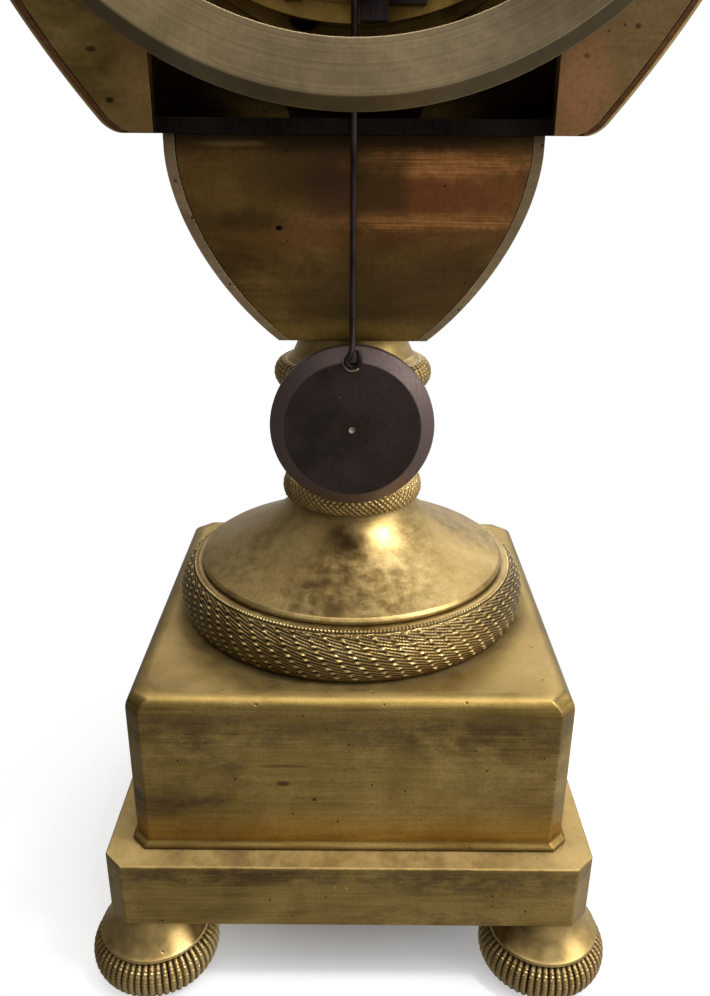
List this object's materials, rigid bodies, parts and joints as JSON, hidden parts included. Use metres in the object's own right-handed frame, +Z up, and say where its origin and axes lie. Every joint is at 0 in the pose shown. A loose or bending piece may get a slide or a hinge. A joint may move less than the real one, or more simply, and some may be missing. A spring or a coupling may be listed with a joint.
{
  "type": "mantel clock",
  "caption": "Gilt bronze urn mantel clock on a square base with a hinged glazed dial, wheel train, strike and a free pendulum hanging behind.",
  "frame": {"origin": "on the floor under the middle of the square base, between the four feet", "axes": "+Z up, +Y towards the back where the pendulum hangs, dial facing -Y, +X to the right of someone facing the dial"},
  "size_m": [0.154, 0.1162, 0.3904],
  "materials": {
    "gilt_bronze": "worn satin gilding",
    "copper_plate": "tarnished streaky lacquer",
    "ring_brass": "satin, olive tarnish",
    "movement_brass": "brushed",
    "blackened": "blackened, worn edge",
    "steel": "polished steel, light tarnish",
    "blued_steel": "blued",
    "bob_bronze": "dark purple-brown patina",
    "bell_metal": "turned bell bronze",
    "enamel": "vitreous enamel",
    "glass": "clear",
    "silk": "waxed silk thread"
  },
  "bodies": {
    "case": {"foot_front_left": "gilt_bronze", "foot_front_right": "gilt_bronze", "foot_rear_left": "gilt_bronze", "foot_rear_right": "gilt_bronze", "base_nuts": "steel", "plinth": "gilt_bronze", "die": "gilt_bronze", "foot_band": "gilt_bronze", "pedestal_foot": "gilt_bronze", "neck_band": "gilt_bronze", "neck_knop": "gilt_bronze", "tie_rod": "steel", "cup_shell": "gilt_bronze", "cup_back_plate": "copper_plate", "floor_plate": "blackened", "belly_shell": "gilt_bronze", "belly_back_plate": "copper_plate", "plate_screws": "steel", "shoulder_collar": "gilt_bronze", "lid": "gilt_bronze", "finial": "gilt_bronze", "front_collar": "gilt_bronze", "dial_ring": "movement_brass", "dial": "enamel", "rear_ring": "ring_brass", "bezel_straps": "movement_brass", "strap_screws": "steel", "hinge_pin": "steel", "front_plate": "movement_brass", "back_plate": "movement_brass", "plate_pillars": "movement_brass", "pillar_nuts": "steel", "clicks": "steel", "suspension_cock": "movement_brass", "bell_stand": "steel", "bell": "bell_metal", "bell_nut": "steel"},
    "bezel": {"bezel_frame": "gilt_bronze", "bezel_glass": "glass"},
    "centre_wheel": {"centre_arbor": "movement_brass"},
    "hands_pinion": {"cannon_pinion": "steel", "minute_hand": "blued_steel", "hand_collet": "movement_brass"},
    "hour": {"hour_wheel": "movement_brass", "hour_hand": "blued_steel"},
    "motion_wheel": {"minute_wheel": "movement_brass"},
    "going_barrel_body": {"going_barrel": "movement_brass"},
    "going_winder": {"going_winding_arbor": "steel"},
    "third": {"third_wheel": "movement_brass"},
    "escape": {"escape_wheel": "movement_brass"},
    "anchor_arbor": {"anchor": "steel", "crutch": "steel"},
    "pendulum": {"silk_loop": "silk", "pendulum_rod": "steel", "pendulum_bob": "bob_bronze"},
    "strike_barrel_body": {"strike_barrel": "movement_brass"},
    "strike_winder": {"strike_winding_arbor": "steel"},
    "strike_second": {"strike_wheel": "movement_brass", "count_wheel": "movement_brass"},
    "hammer_arm": {"hammer": "steel"}
  },
  "joints": [
    {"name": "bezel_open", "type": "hinge", "parent": "case", "child": "bezel", "pos_m": [-0.0684, -0.0488, 0.248], "axis": [0, 0, -1], "range_deg": [0, 110]},
    {"name": "minute_turn", "type": "hinge", "parent": "case", "child": "hands_pinion", "pos_m": [0, -0.042, 0.248], "axis": [0, 1, 0], "continuous": true},
    {"name": "centre_turn", "type": "hinge", "parent": "case", "child": "centre_wheel", "pos_m": [0, -0.01, 0.248], "axis": [0, 1, 0], "continuous": true},
    {"name": "hour_turn", "type": "hinge", "parent": "case", "child": "hour", "pos_m": [0, -0.042, 0.248], "axis": [0, 1, 0], "continuous": true},
    {"name": "motion_turn", "type": "hinge", "parent": "case", "child": "motion_wheel", "pos_m": [0, -0.036, 0.26], "axis": [0, 1, 0], "continuous": true},
    {"name": "going_barrel_turn", "type": "hinge", "parent": "case", "child": "going_barrel_body", "pos_m": [0.021, -0.014, 0.232], "axis": [0, 1, 0], "continuous": true},
    {"name": "going_wind", "type": "hinge", "parent": "case", "child": "going_winder", "pos_m": [0.021, -0.014, 0.232], "axis": [0, 1, 0], "continuous": true},
    {"name": "third_turn", "type": "hinge", "parent": "case", "child": "third", "pos_m": [-0.01594, 0, 0.26316], "axis": [0, 1, 0], "continuous": true},
    {"name": "escape_turn", "type": "hinge", "parent": "case", "child": "escape", "pos_m": [0, -0.01, 0.2705], "axis": [0, 1, 0], "continuous": true},
    {"name": "pendulum_swing", "type": "hinge", "parent": "case", "child": "pendulum", "pos_m": [0, 0.0236, 0.288], "axis": [0, 1, 0], "range_deg": [-4, 4]},
    {"name": "crutch_swing", "type": "hinge", "parent": "case", "child": "anchor_arbor", "pos_m": [0, 0, 0.288], "axis": [0, 1, 0], "range_deg": [-4, 4]},
    {"name": "strike_barrel_turn", "type": "hinge", "parent": "case", "child": "strike_barrel_body", "pos_m": [-0.021, -0.014, 0.232], "axis": [0, 1, 0], "continuous": true},
    {"name": "strike_wind", "type": "hinge", "parent": "case", "child": "strike_winder", "pos_m": [-0.021, -0.014, 0.232], "axis": [0, 1, 0], "continuous": true},
    {"name": "strike_second_turn", "type": "hinge", "parent": "case", "child": "strike_second", "pos_m": [-0.038, 0, 0.25149], "axis": [0, 1, 0], "continuous": true},
    {"name": "hammer_lift", "type": "hinge", "parent": "case", "child": "hammer_arm", "pos_m": [-0.037, 0.016, 0.222], "axis": [0, -1, 0], "range_deg": [0, 12]}
  ],
  "couplings": [
    {"joint": "hour_turn", "follows": "minute_turn", "ratio": 0.083333},
    {"joint": "motion_turn", "follows": "minute_turn", "ratio": -0.33333},
    {"joint": "third_turn", "follows": "escape_turn", "ratio": -0.083333},
    {"joint": "centre_turn", "follows": "escape_turn", "ratio": 0.0083333},
    {"joint": "going_barrel_turn", "follows": "escape_turn", "ratio": -0.0013889},
    {"joint": "crutch_swing", "follows": "pendulum_swing", "ratio": 1},
    {"joint": "strike_second_turn", "follows": "strike_barrel_turn", "ratio": -7}
  ]
}
